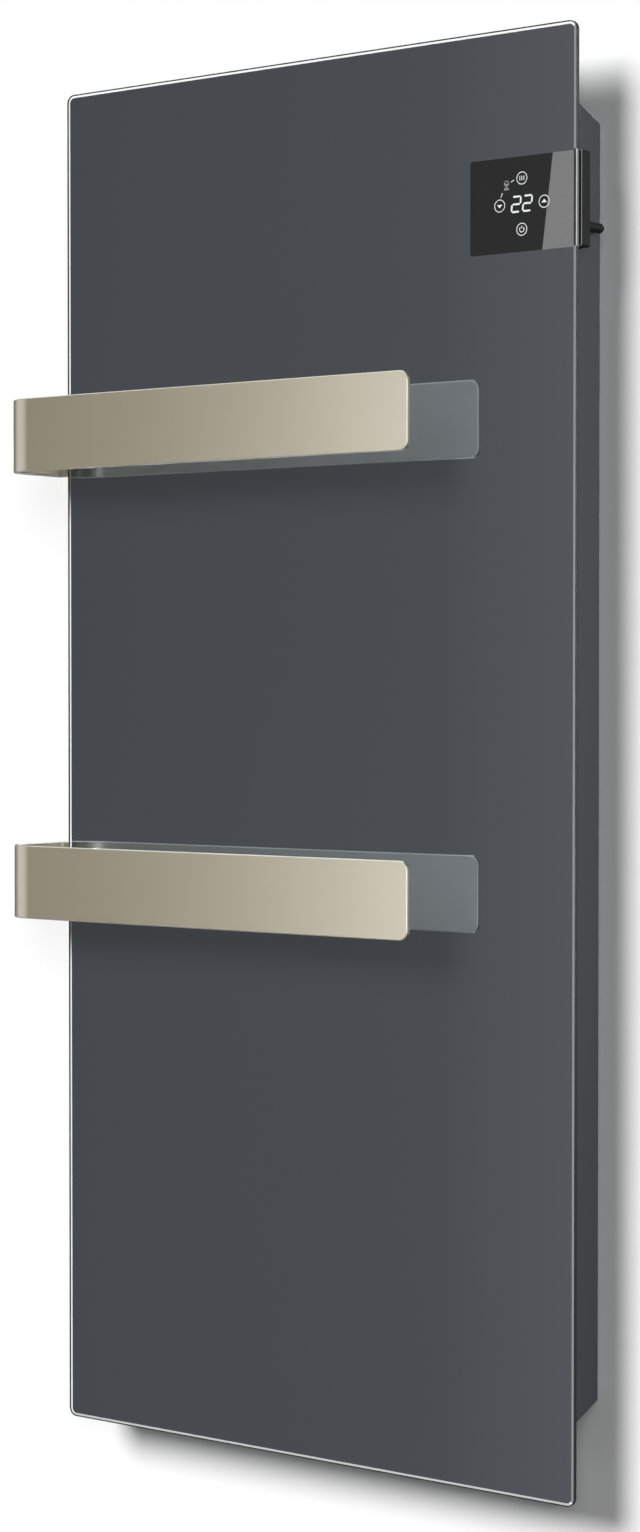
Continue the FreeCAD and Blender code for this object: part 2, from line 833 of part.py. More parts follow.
def make_terminal_block():
    front = casing_floor - terminal_depth
    x0 = terminal_x - terminal_width / 2
    body = block(x0, x0 + terminal_width, front, casing_floor, terminal_bottom, terminal_top)
    middle_z = (terminal_bottom + terminal_top) / 2
    well_end = front + terminal_screw_depth
    for i in (-1, 0, 1):
        x = terminal_x + i * terminal_pitch
        body = body.cut(rod(x, middle_z, front - cut_margin, well_end, terminal_screw_radius))
    return body


def make_earth_lead():
    tag_front = casing_floor - earth_tag_thickness
    tag_low = earth_z - earth_tag_length
    lead_z = tag_low + lead_radius
    bend = (tag_front - supply_lead_depth) / 2
    stops = [(supply_lead_depth, terminal_top), (supply_lead_depth, lead_z), (tag_front, lead_z)]
    points = [FreeCAD.Vector(earth_x, y_at(depth), z) for depth, z in stops]
    wire = lead(points, lead_radius, bend)
    half = earth_tag_width / 2
    tag = block(earth_x - half, earth_x + half, tag_front, casing_floor, tag_low, earth_z)
    tag = tag.fuse(rod(earth_x, earth_z, tag_front, casing_floor, half))
    hole = earth_stud_radius + nut_thread_clearance
    tag = tag.cut(rod(earth_x, earth_z, tag_front - cut_margin, casing_floor + cut_margin, hole))
    return wire.fuse(tag)


def make_earth_stud():
    return rod(earth_x, earth_z, casing_floor - earth_stud_length, casing_floor, earth_stud_radius)


def make_earth_nut():
    back = casing_floor - earth_tag_thickness
    front = back - earth_nut_height
    nut = hexagon(earth_x, earth_z, front, back, earth_nut_flats)
    hole = earth_stud_radius + nut_thread_clearance
    return nut.cut(rod(earth_x, earth_z, front - cut_margin, back + cut_margin, hole))


# Supply entry
def make_supply_gland():
    flange_back = casing_rear + gland_flange_thickness
    barrel_front = casing_rear - gland_barrel_length
    flange = rod(gland_x, gland_z, casing_rear, flange_back, gland_flange_radius)
    barrel = rod(gland_x, gland_z, barrel_front, casing_rear, gland_barrel_radius)
    bore = rod(gland_x, gland_z, barrel_front - cut_margin, flange_back + cut_margin, gland_bore_radius)
    return flange.fuse(barrel).cut(bore)


def make_gland_nut():
    front = casing_floor - gland_nut_height
    nut = hexagon(gland_x, gland_z, front, casing_floor, gland_nut_flats)
    hole = gland_barrel_radius + nut_thread_clearance
    return nut.cut(rod(gland_x, gland_z, front - cut_margin, casing_floor + cut_margin, hole))


# Hanging
def lip_top_z(z):
    return z + wall_bracket_plate / 2 + wall_bracket_lip - wall_bracket_sheet


def cleat_seat_z(z):
    return lip_top_z(z) + cleat_seat_gap


def make_wall_bracket(z):
    front = -(wall_gap - wall_bracket_casing_gap)
    lip_back = front + wall_bracket_sheet
    bottom = z - wall_bracket_plate / 2
    top = z + wall_bracket_plate / 2
    web_bottom = top - wall_bracket_sheet
    lip_top = lip_top_z(z)
    points = [
        (0, bottom),
        (0, top),
        (lip_back, top),
        (lip_back, lip_top),
        (front, lip_top),
        (front, web_bottom),
        (-wall_bracket_sheet, web_bottom),
        (-wall_bracket_sheet, bottom),
    ]
    strip = profile_along_x(points, -wall_bracket_length / 2, wall_bracket_length / 2)
    wall_depth = casing_rear + wall_gap
    hole_start = wall_depth - wall_bracket_sheet - cut_margin
    hole_end = wall_depth + cut_margin
    for side in (-1, 1):
        x = side * fixing_spacing / 2
        strip = strip.cut(rod(x, z, hole_start, hole_end, fixing_hole_radius))
    return strip


def make_cleat(z):
    front = -wall_gap
    flange_back = front + cleat_sheet
    tongue_front = front + wall_bracket_casing_gap + wall_bracket_sheet + cleat_lip_gap
    tongue_back = tongue_front + cleat_sheet
    seat = cleat_seat_z(z)
    web_top = seat + cleat_sheet
    points = [
        (front, seat),
        (tongue_front, seat),
        (tongue_front, seat - cleat_tongue),
        (tongue_back, seat - cleat_tongue),
        (tongue_back, web_top),
        (flange_back, web_top),
        (flange_back, web_top + cleat_flange),
        (front, web_top + cleat_flange),
    ]
    cleat = profile_along_x(points, -cleat_length / 2, cleat_length / 2)
    hole = rivet_radius + rivet_hole_clearance
    for x, rivet_z in cleat_rivet_places():
        if web_top < rivet_z < web_top + cleat_flange:
            cleat = cleat.cut(rod(x, rivet_z, casing_floor, casing_rear + cleat_sheet + cut_margin, hole))
    return cleat


nodes = {
    "glass_panel": make_glass(),
    "heating_foil": make_foil(),
    "foil_terminals": make_foil_terminals(),
    "insulation_board": make_insulation(),
    "bond_frame": make_bond_frame(),
    "casing_tray": make_casing(),
    "upper_towel_rail": make_rail(upper_rail_z),
    "lower_towel_rail": make_rail(lower_rail_z),
    "upper_rail_bracket": make_rail_bracket(upper_rail_z),
    "lower_rail_bracket": make_rail_bracket(lower_rail_z),
    "bracket_rivets": make_bracket_rivets(),
    "rail_screws": make_rail_screws(),
    "rail_nuts": make_rail_nuts(),
    "upper_slot_grommet": make_slot_grommet(upper_rail_z),
    "lower_slot_grommet": make_slot_grommet(lower_rail_z),
    "control_fascia": make_control_fascia(),
    "control_housing": make_control_housing(),
    "touch_board": make_touch_board(),
    "display_module": make_display_module(),
    "touch_contacts": make_touch_contacts(),
    "control_screws": make_control_screws(),
    "room_sensor_probe": make_sensor_probe(),
    "power_board": make_power_board(),
    "board_standoffs": make_standoffs(),
    "board_screws": make_board_screws(),
    "power_relay": board_component(relay_from_left, relay_width, relay_height, relay_depth),
    "power_module": board_component(module_from_left, module_width, module_height, module_depth),
    "thermal_cutout": make_thermal_cutout(),
    "heater_leads": make_heater_leads(),
    "cutout_leads": make_cutout_leads(),
    "control_lead": make_control_lead(),
    "supply_leads": make_supply_leads(),
    "lead_clips": make_lead_clips(),
    "terminal_block": make_terminal_block(),
    "earth_lead": make_earth_lead(),
    "earth_stud": make_earth_stud(),
    "earth_nut": make_earth_nut(),
    "supply_gland": make_supply_gland(),
    "gland_nut": make_gland_nut(),
    "upper_cleat": make_cleat(hanger_places[0]),
    "lower_cleat": make_cleat(hanger_places[1]),
    "cleat_rivets": make_cleat_rivets(),
    "upper_wall_bracket": make_wall_bracket(hanger_places[0]),
    "lower_wall_bracket": make_wall_bracket(hanger_places[1]),
}

os.makedirs("parts", exist_ok=True)
for name, shape in nodes.items():
    if not shape.isValid():
        raise ValueError(name + " is not a valid solid")
    shape.exportStep("parts/" + name + ".step")
    print(name, len(shape.Solids), round(shape.Volume, 1))
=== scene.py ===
import json
import math

import bmesh
import bpy
from mathutils import Matrix, Vector


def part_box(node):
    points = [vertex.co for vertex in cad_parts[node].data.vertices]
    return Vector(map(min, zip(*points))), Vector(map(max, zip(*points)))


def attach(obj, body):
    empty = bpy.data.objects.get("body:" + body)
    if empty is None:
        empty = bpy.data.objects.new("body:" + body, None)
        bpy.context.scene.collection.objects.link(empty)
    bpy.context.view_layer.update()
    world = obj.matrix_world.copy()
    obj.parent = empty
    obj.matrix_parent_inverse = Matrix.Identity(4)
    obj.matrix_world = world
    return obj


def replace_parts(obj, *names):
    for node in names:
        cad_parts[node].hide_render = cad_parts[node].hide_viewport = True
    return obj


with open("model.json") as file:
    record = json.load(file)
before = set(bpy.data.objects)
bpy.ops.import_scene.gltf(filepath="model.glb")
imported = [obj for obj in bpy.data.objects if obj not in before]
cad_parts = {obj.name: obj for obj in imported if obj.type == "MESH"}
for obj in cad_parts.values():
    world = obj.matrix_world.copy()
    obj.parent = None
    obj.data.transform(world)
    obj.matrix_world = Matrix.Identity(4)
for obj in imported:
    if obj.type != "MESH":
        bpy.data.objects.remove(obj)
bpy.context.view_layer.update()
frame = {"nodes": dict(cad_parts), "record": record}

# Lengths are in metres from the centre of the wall fixings: +X to the right, +Y into the wall, +Z up
up = Vector((0, 0, 1))
full_turn = 2 * math.pi
half_turn = math.pi
quarter_turn = math.pi / 2
corner_segments = 8

# Camera
camera_place = Vector((1.5107, -2.0254, 0.0591))
camera_forward = Vector((-0.6044, 0.7963, -0.0247))
camera_lens_mm = 74.31

# Glass sheet: from its rim inwards come a dark strip, a clear border whose tone is painted light and shade,
# and the slate field
glass_low, glass_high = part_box("glass_panel")
glass_front = glass_low.y
glass_corner = 0.007
glass_arris = 0.0003
arris_segments = 3
dark_strip = 0.00085
border_width = 0.0017
border_drop = 0.0003
border_shift = 0.0008
field_inset = glass_arris + dark_strip + border_width - border_shift
# Depth of the painted highlight on the glass's edge beside the control
edge_highlight_depth = 0.0012
level_tolerance = 1e-6

# How far a face's normal points to a side for the face to count as turned to it
facing_front = 0.99
facing_right = 0.9
turned_right = 0.1
inside_bend_lean = 0.35

# Places of the finishes in the meshes of the glass sheet, the rails and the window
# The glass borders carry painted light, painted shade and a lighter painted shade
# The pale edge is a painted reflection of the window's glare
slate, painted_light_border, dark_edge, painted_shade_border, painted_glare_edge, painted_dim_border = range(6)
# The rails' bright faces carry a painted highlight
painted_highlight = 1
# The window's pale zone is a painted reflection of a glare
black_panel, painted_glare = range(2)

# Towel rails: the front arm sweeps into the front bend, and the side runs into the rear bend
rail_thickness = 0.004
rail_sweep_radius = 0.045
rail_sweep_turn = math.radians(25)
rail_sweep_steps = 10
rail_bend_radius = 0.0243
rail_bend_steps = 20
rail_rear_bend = 0.007
rail_rear_steps = 10
rail_end_corner = 0.0075
rail_edge_chamfer = 0.0006
rail_rim_angle = math.radians(50)
rail_crease_angle = math.radians(30)

# Control window and the fascia behind it
window_corner = 0.002
fascia_chamfer = 0.0004
# Foot and slant of the painted glare, a painted reflection on the fascia seen through the window
painted_glare_foot = 0.0647
painted_glare_lean = 0.1295
print_thickness = 0.00006

# Printed symbols of the keys round the display
symbol_shift = Vector((0.001, 0, 0.0009))
key_spacing_x = 0.0198
key_spacing_z = 0.019
key_ring_radius = 0.0045
key_line = 0.0006
ring_steps = 40
bar_rounding = 0.4
arrow_radius = 0.0024
arrow_stretch = (1.15, 1, 0.72)
arrow_rounding = 0.2
power_ring_radius = 0.0020
power_ring_gap = math.radians(42)
power_bar_foot = 0.0005
power_bar_head = 0.0028
mode_bar_pitch = 0.0018
mode_bar_half = 0.0017

# Ticks beside the mode key and the minus key, from the key's centre
mode_tick_start = Vector((-0.0099, 0, -0.0022))
mode_tick_end = Vector((-0.0068, 0, -0.0008))
minus_tick_start = Vector((0.0025, 0, 0.0093))
minus_tick_end = Vector((0.0011, 0, 0.0061))

# Dim marks beside the mode key, from the display's centre
half_filled_mark = Vector((-0.0137, 0, 0.0161))
arch_mark = Vector((-0.0137, 0, 0.0112))
mark_radius = 0.0019
half_fill_radius = 0.0008
arch_fill_radius = 0.0007
mark_fill_width = 0.0012

# Display digits
digit_width = 0.0074
digit_height = 0.0113
digit_pitch = 0.01
digit_stroke = 0.0014
digit_joint = 0.00045
digit_slant = 0.11

# Stage
wall_clearance = 0.0005
floor_height = -1.5
cove_radius = 0.25
cove_steps = 24
stage_half_width = 5.0
stage_depth = 5.0
wall_top = 3.0
wall_white = 0.94
wall_bounce = 0.20

# Dim card in front of the glass, with its greys at places along X
card_left = -2.9
card_right = -1.25
card_bottom = -1.6
card_top = 1.5
card_depth = -2.5
reflected_tones = ((-2.45, 0.153), (-1.585, 0.181), (-1.52, 0.204), (-1.30, 0.252))

# Light: how bright the room is on surfaces, in reflections and to the camera
room_grey = 0.05
room_gloss = 0.17
room_white = 0.92

# Lamps: the spread of the suns in radians, and the tint of the lamps behind the rails
sun_softness = 0.5
cool_white = (0.76, 0.84, 1.0)

# Grain of the finishes: most of a noise's values lie between the first two
noise_low = 0.3
noise_high = 0.7
mottle_detail = 3.0
mottle_strength = 0.35


# Node trees
def shader_of(material):
    return material.node_tree.nodes["Principled BSDF"]


def start_finish(name, colour, roughness, **sockets):
    """A material with one shader, and with its even values set on the shader's own sockets."""
    material = bpy.data.materials.new(name)
    material.use_nodes = True
    inputs = shader_of(material).inputs
    inputs["Base Color"].default_value = (*colour, 1)
    inputs["Roughness"].default_value = roughness
    for socket, value in sockets.items():
        inputs[socket.replace("_", " ")].default_value = value
    return material


def object_texture(material, kind, scale, stretch=(1, 1, 1), turn=(0, 0, 0)):
    """A texture laid on the piece's own coordinates, with its scale per metre."""
    tree = material.node_tree
    coordinates = tree.nodes.new("ShaderNodeTexCoord")
    mapping = tree.nodes.new("ShaderNodeMapping")
    mapping.inputs["Scale"].default_value = stretch
    mapping.inputs["Rotation"].default_value = turn
    texture = tree.nodes.new(kind)
    texture.inputs["Scale"].default_value = scale
    tree.links.new(coordinates.outputs["Object"], mapping.inputs["Vector"])
    tree.links.new(mapping.outputs["Vector"], texture.inputs["Vector"])
    return texture


def object_noise(material, scale, detail=2.0, stretch=(1, 1, 1)):
    noise = object_texture(material, "ShaderNodeTexNoise", scale, stretch)
    noise.inputs["Detail"].default_value = detail
    return noise.outputs["Fac"]


def colour_between(material, factor, low, high, start=noise_low, end=noise_high):
    tree = material.node_tree
    ramp = tree.nodes.new("ShaderNodeValToRGB")
    first, last = ramp.color_ramp.elements
    first.position = start
    first.color = (*low, 1)
    last.position = end
    last.color = (*high, 1)
    tree.links.new(factor, ramp.inputs["Fac"])
    tree.links.new(ramp.outputs["Color"], shader_of(material).inputs["Base Color"])


def shade(colour, amount):
    return tuple(channel * amount for channel in colour)


def vary_colour(material, factor, colour, darker, lighter, start=noise_low, end=noise_high):
    """The colour goes from a darker to a lighter share of itself with a pattern's value."""
    colour_between(material, factor, shade(colour, darker), shade(colour, lighter), start, end)


def roughness_between(material, factor, low, high):
    tree = material.node_tree
    spread = tree.nodes.new("ShaderNodeMapRange")
    spread.inputs["From Min"].default_value = noise_low
    spread.inputs["From Max"].default_value = noise_high
    spread.inputs["To Min"].default_value = low
    spread.inputs["To Max"].default_value = high
    tree.links.new(factor, spread.inputs["Value"])
    tree.links.new(spread.outputs["Result"], shader_of(material).inputs["Roughness"])


def bump_from(material, height, strength, relief):
    tree = material.node_tree
    bump = tree.nodes.new("ShaderNodeBump")
    bump.inputs["Strength"].default_value = strength
    bump.inputs["Distance"].default_value = relief
    tree.links.new(height, bump.inputs["Height"])
    tree.links.new(bump.outputs["Normal"], shader_of(material).inputs["Normal"])


def mottled_finish(name, colour, roughness, grain, contrast, relief, **sockets):
    """A finish with a fine grain: its colour, gloss and relief follow one noise."""
    material = start_finish(name, colour, roughness, **sockets)
    noise = object_noise(material, grain, mottle_detail)
    vary_colour(material, noise, colour, 1 - contrast, 1 + contrast)
    roughness_between(material, noise, roughness * (1 - contrast), roughness * (1 + contrast))
    bump_from(material, noise, mottle_strength, relief)
    return material


# Finishes of the glass sheet
def slate_glass_finish():
    colour = (0.026, 0.0305, 0.035)
    material = start_finish(
        "slate_glass_face", colour, roughness=0.03,
        IOR=2.4, Specular_IOR_Level=1.0, Specular_Tint=(0.80, 0.86, 0.95, 1),
    )
    cloud = object_noise(material, scale=2.2)
    vary_colour(material, cloud, colour, darker=0.95, lighter=1.05)
    haze = object_noise(material, scale=7.0)
    roughness_between(material, haze, low=0.02, high=0.04)
    return material


def border_finish(name, colour, contrast):
    """The border where the slate print ends, seen through the glass; its colour paints the light and shade
    that show there.
    """
    return mottled_finish(name, colour, roughness=0.30, grain=2600, contrast=contrast, relief=0.00001)


# Painted light: the white of the border's left and top
def painted_light_border_finish():
    return border_finish("glass_border_painted_light", (0.90, 0.91, 0.91), contrast=0.03)


# Painted shade: the dark grey of the border's right side
def painted_shade_border_finish():
    return border_finish("glass_border_painted_shade", (0.27, 0.28, 0.28), contrast=0.05)


# Lighter painted shade: the grey of the border's bottom
def painted_dim_border_finish():
    return border_finish("glass_border_painted_dim_shade", (0.55, 0.56, 0.56), contrast=0.05)


def polished_edge_finish(name, colour, contrast):
    return mottled_finish(
        name, colour, roughness=0.22, grain=900, contrast=contrast, relief=0.00001, IOR=1.52,
    )


def dark_edge_finish():
    return polished_edge_finish("polished_dark_edge", (0.030, 0.034, 0.037), contrast=0.10)


# Painted reflection: the glass's side beside the control, pale with the window's glare behind
def painted_glare_edge_finish():
    return polished_edge_finish("painted_glare_edge_over_control", (0.50, 0.50, 0.50), contrast=0.05)


# Finishes of the rails
satin_coat = dict(Coat_Weight=1.0, Coat_Roughness=0.28, Coat_IOR=2.2)


def rail_finish():
    colour = (0.225, 0.194, 0.114)
    material = start_finish("champagne_anodised", colour, roughness=0.36, Metallic=0.73, **satin_coat)
    tone = object_noise(material, scale=9.0)
    vary_colour(material, tone, colour, darker=0.97, lighter=1.03)
    grain = object_noise(material, scale=2400, detail=4.0, stretch=(0.6, 1, 1))
    roughness_between(material, grain, low=0.32, high=0.40)
    bump_from(material, grain, strength=0.10, relief=0.00002)
    return material


def painted_highlight_edge_finish():
    """The rail's cut edges and the inside of its rear bend, paler than its faces: a painted highlight."""
    return mottled_finish(
        "rail_edge_painted_highlight", (0.72, 0.70, 0.60), roughness=0.34, grain=900, contrast=0.05, relief=0.00001,
        Metallic=0.35, **satin_coat,
    )


# Finishes of the casing and its mounts
def powder_coat_finish():
    colour = (0.082, 0.092, 0.100)
    material = start_finish("dark_powder_coat", colour, roughness=0.52, Specular_IOR_Level=0.3)
    speckle = object_noise(material, scale=1400, detail=4.0)
    vary_colour(material, speckle, colour, darker=0.86, lighter=1.14)
    roughness_between(material, speckle, low=0.46, high=0.60)
    peel = object_texture(material, "ShaderNodeTexVoronoi", scale=900)
    bump_from(material, peel.outputs["Distance"], strength=0.22, relief=0.00006)
    return material


def zinc_finish():
    colour = (0.60, 0.61, 0.63)
    material = start_finish("zinc_plate", colour, roughness=0.34, Metallic=1.0)
    spangle = object_texture(material, "ShaderNodeTexVoronoi", scale=170).outputs["Color"]
    vary_colour(material, spangle, colour, darker=0.93, lighter=1.06, start=0.1, end=0.9)
    roughness_between(material, spangle, low=0.36, high=0.43)
    scratch = object_noise(material, scale=900, stretch=(0.05, 1, 1))
    bump_from(material, scratch, strength=0.12, relief=0.00003)
    return material


def rivet_finish():
    return mottled_finish(
        "rivet_aluminium", (0.70, 0.70, 0.71), roughness=0.32, grain=600, contrast=0.06, relief=0.00001,
        Metallic=1.0,
    )


# Finishes of the control
def window_finish(name, colour, contrast):
    return mottled_finish(
        name, colour, roughness=0.05, grain=400, contrast=contrast, relief=0.0000005, IOR=1.52,
    )


def window_black_finish():
    return window_finish("window_black", (0.017, 0.017, 0.018), contrast=0.06)


# Painted reflection: the slanted glare on the black fascia
def window_painted_glare_finish():
    return window_finish("window_painted_glare", (0.190, 0.190, 0.190), contrast=0.02)


# Painted highlight: the pale colour of the fascia's edge chamfer
def fascia_painted_highlight_finish():
    return mottled_finish(
        "fascia_painted_highlight", (0.34, 0.34, 0.34), roughness=0.20, grain=900, contrast=0.05, relief=0.00001,
    )


def print_finish(name, colour, contrast):
    return mottled_finish(name, colour, roughness=0.4, grain=3000, contrast=contrast, relief=0.000002)


def print_white_finish():
    return print_finish("display_print", (0.82, 0.83, 0.83), contrast=0.02)


def print_dim_finish():
    return print_finish("display_dim_print", (0.30, 0.30, 0.30), contrast=0.04)


def black_gloss_finish():
    return mottled_finish(
        "black_gloss", (0.020, 0.020, 0.021), roughness=0.14, grain=700, contrast=0.08, relief=0.000004,
        Specular_IOR_Level=0.25,
    )


def black_matt_finish():
    return mottled_finish(
        "black_matt", (0.024, 0.024, 0.025), roughness=0.48, grain=1500, contrast=0.14, relief=0.00004,
        Specular_IOR_Level=0.12,
    )


# Finishes of the pieces inside the casing
def heating_film_finish():
    material = start_finish("heating_film", (0.10, 0.07, 0.05), roughness=0.35)
    wave = object_texture(material, "ShaderNodeTexWave", scale=40, turn=(0, quarter_turn, 0))
    tracks = wave.outputs["Fac"]
    colour_between(material, tracks, (0.02, 0.018, 0.016), (0.20, 0.13, 0.08), start=0.45, end=0.55)
    bump_from(material, tracks, strength=0.3, relief=0.00005)
    return material


def fibre_board_finish():
    colour = (0.80, 0.78, 0.72)
    material = start_finish("felted_fibre", colour, roughness=0.95, Sheen_Weight=0.3)
    fibre = object_noise(material, scale=700, detail=6.0, stretch=(1, 1, 0.2))
    vary_colour(material, fibre, colour, darker=0.80, lighter=1.10)
    bump_from(material, fibre, strength=0.8, relief=0.0005)
    return material


def silicone_finish():
    return mottled_finish(
        "silicone", (0.10, 0.10, 0.11), roughness=0.55, grain=500, contrast=0.08, relief=0.00003,
    )


def circuit_board_finish():
    colour = (0.03, 0.16, 0.07)
    material = start_finish("solder_resist", colour, roughness=0.30, Coat_Weight=0.4)
    brick = object_texture(material, "ShaderNodeTexBrick", scale=90, turn=(quarter_turn, 0, 0))
    tracks = brick.outputs["Fac"]
    vary_colour(material, tracks, colour, darker=0.8, lighter=1.9, start=0.4, end=0.6)
    bump_from(material, tracks, strength=0.3, relief=0.00004)
    return material


def display_white_finish():
    return mottled_finish(
        "display_white", (0.78, 0.79, 0.80), roughness=0.45, grain=900, contrast=0.03, relief=0.00001,
    )


def contact_carbon_finish():
    return mottled_finish(
        "contact_carbon", (0.06, 0.06, 0.06), roughness=0.7, grain=1500, contrast=0.15, relief=0.00003,
    )


def brass_finish():
    return mottled_finish(
        "brass", (0.72, 0.55, 0.25), roughness=0.30, grain=500, contrast=0.06, relief=0.00001, Metallic=1.0,
    )


def relay_case_finish():
    return mottled_finish(
        "relay_case", (0.04, 0.10, 0.24), roughness=0.35, grain=900, contrast=0.06, relief=0.00001,
    )


def module_case_finish():
    return mottled_finish(
        "module_case", (0.05, 0.05, 0.05), roughness=0.45, grain=900, contrast=0.10, relief=0.00002,
    )


def cutout_case_finish():
    return mottled_finish(
        "cutout_case", (0.14, 0.10, 0.08), roughness=0.40, grain=900, contrast=0.10, relief=0.00002,
    )


def sleeve_finish(name, colour):
    return mottled_finish(name, colour, roughness=0.50, grain=700, contrast=0.06, relief=0.00002)


def earth_sleeve_finish():
    """Green with yellow stripes."""
    green = (0.16, 0.38, 0.05)
    yellow = (0.70, 0.55, 0.04)
    material = start_finish("earth_sleeve", green, roughness=0.5)
    stripe = object_texture(material, "ShaderNodeTexWave", scale=160).outputs["Fac"]
    colour_between(material, stripe, green, yellow, start=0.48, end=0.52)
    return material


def white_plastic_finish():
    return mottled_finish(
        "white_plastic", (0.80, 0.80, 0.78), roughness=0.40, grain=800, contrast=0.03, relief=0.00001,
    )


# The finish of each material slot
finishes = {
    "slate_glass": slate_glass_finish(),
    "casing_paint": powder_coat_finish(),
    "rail_aluminium": rail_finish(),
    "zinc_steel": zinc_finish(),
    "rivet_aluminium": rivet_finish(),
    "black_gloss": black_gloss_finish(),
    "black_matt": black_matt_finish(),
    "heating_film": heating_film_finish(),
    "fibre_board": fibre_board_finish(),
    "silicone": silicone_finish(),
    "circuit_board": circuit_board_finish(),
    "display_white": display_white_finish(),
    "contact_carbon": contact_carbon_finish(),
    "brass": brass_finish(),
    "relay_case": relay_case_finish(),
    "module_case": module_case_finish(),
    "cutout_case": cutout_case_finish(),
    "lead_sleeve": sleeve_finish("lead_sleeve", (0.55, 0.05, 0.04)),
    "control_sleeve": sleeve_finish("control_sleeve", (0.20, 0.20, 0.21)),
    "supply_sleeve": sleeve_finish("supply_sleeve", (0.16, 0.09, 0.05)),
    "earth_sleeve": earth_sleeve_finish(),
    "white_plastic": white_plastic_finish(),
}


# Objects from finished meshes
def link_mesh(name, bm, materials):
    mesh = bpy.data.meshes.new(name)
    bm.to_mesh(mesh)
    bm.free()
    for material in materials:
        mesh.materials.append(material)
    obj = bpy.data.objects.new(name, mesh)
    bpy.context.scene.collection.objects.link(obj)
    return obj


def make_piece(name, bm, body, materials):
    """A piece that rides on its body, with the finishes given."""
    piece = link_mesh(name, bm, materials)
    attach(piece, body)
    return piece


def smooth_faces(obj):
    for face in obj.data.polygons:
        face.use_smooth = True


def even_shading(piece):
    """Smooth faces whose shading follows the large flats."""
    smooth_faces(piece)
    weighted = piece.modifiers.new("even_shading", "WEIGHTED_NORMAL")
    weighted.keep_sharp = True


def thicken(piece, thickness, offset):
    wall = piece.modifiers.new("thickness", "SOLIDIFY")
    wall.thickness = thickness
    wall.offset = offset
    wall.use_even_offset = True


# Shaping
def verts_of(geometry):
    return [item for item in geometry if isinstance(item, bmesh.types.BMVert)]


def edge_of(geometry):
    return next(item for item in geometry if isinstance(item, bmesh.types.BMEdge))


def upright_plate(bm, left, right, bottom, top, depth):
    """The corners of one new flat face that stands parallel to the wall."""
    corners = bmesh.ops.create_grid(bm, x_segments=1, y_segments=1, size=0.5)["verts"]
    bmesh.ops.rotate(bm, verts=corners, matrix=Matrix.Rotation(quarter_turn, 3, "X"))
    bmesh.ops.scale(bm, verts=corners, vec=(right - left, 1, top - bottom))
    bmesh.ops.translate(bm, verts=corners, vec=((left + right) / 2, depth, (bottom + top) / 2))
    return corners


def round_corners(bm, corners, radius):
    bmesh.ops.bevel(
        bm, geom=corners, offset=radius, offset_type="OFFSET", segments=corner_segments,
        profile=0.5, affect="VERTICES", clamp_overlap=True, material=-1,
    )


def bevel_edges(bm, edges, width, segments):
    """The faces of a bevel along the edges."""
    return bmesh.ops.bevel(
        bm, geom=edges, offset=width, offset_type="OFFSET", segments=segments,
        profile=0.5, affect="EDGES", clamp_overlap=True, material=-1,
    )["faces"]


def cut_across(bm, place, across):
    """Divides the faces along a plane."""
    everything = bm.verts[:] + bm.edges[:] + bm.faces[:]
    bmesh.ops.bisect_plane(bm, geom=everything, plane_co=place, plane_no=across)


def draw_on(bm, edge, run):
    """A flat strip from the edge along the run, and its far edge."""
    drawn = bmesh.ops.extrude_edge_only(bm, edges=[edge])["geom"]
    bmesh.ops.translate(bm, verts=verts_of(drawn), vec=run)
    return edge_of(drawn)


def bend_on(bm, edge, centre, axis, angle, steps):
    """A curved strip from the edge about an axis, and its far edge."""
    bent = bmesh.ops.spin(
        bm, geom=[edge, *edge.verts], cent=centre, axis=axis, angle=angle, steps=steps,
    )["geom_last"]
    return edge_of(bent)


def face_front(bm):
    """Turns flat faces so that they look out from the wall."""
    bm.normal_update()
    turned = [face for face in bm.faces if face.normal.y > 0]
    bmesh.ops.reverse_faces(bm, faces=turned)


def on_glass(point):
    """Where the glass front shows a point that lies behind it, as the camera sees it."""
    share = (glass_front - point.y) / (camera_place.y - point.y)
    return point.lerp(camera_place, share)


# Glass sheet
def largest_front_face(bm):
    bm.normal_update()
    front_faces = [face for face in bm.faces if face.normal.y < -facing_front]
    return max(front_faces, key=lambda face: face.calc_area())


def border_tone(middle):
    """The border is painted shade at the right, lighter painted shade along the bottom and painted light
    elsewhere.
    """
    if middle.x > glass_high.x - field_inset:
        return painted_shade_border
    if middle.z < glass_low.z + field_inset + border_shift:
        return painted_dim_border
    return painted_light_border


def mark_edge_over_control(bm):
    """Beside the control the right border takes the dark edge finish, and the glass's edge carries a painted
    highlight in front and a pale painted reflection behind.
    """
    low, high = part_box("control_fascia")
    highlight_end = glass_front + edge_highlight_depth
    for height in (low.z, high.z):
        cut_across(bm, Vector((0, 0, height)), up)
    cut_across(bm, Vector((0, highlight_end, 0)), Vector((0, 1, 0)))
    bm.normal_update()
    for face in bm.faces:
        middle = face.calc_center_median()
        if not low.z < middle.z < high.z:
            continue
        if face.material_index == painted_shade_border:
            face.material_index = dark_edge
        elif face.normal.x > turned_right and middle.y < highlight_end:
            face.material_index = painted_light_border
        elif face.normal.x > facing_right:
            face.material_index = painted_glare_edge


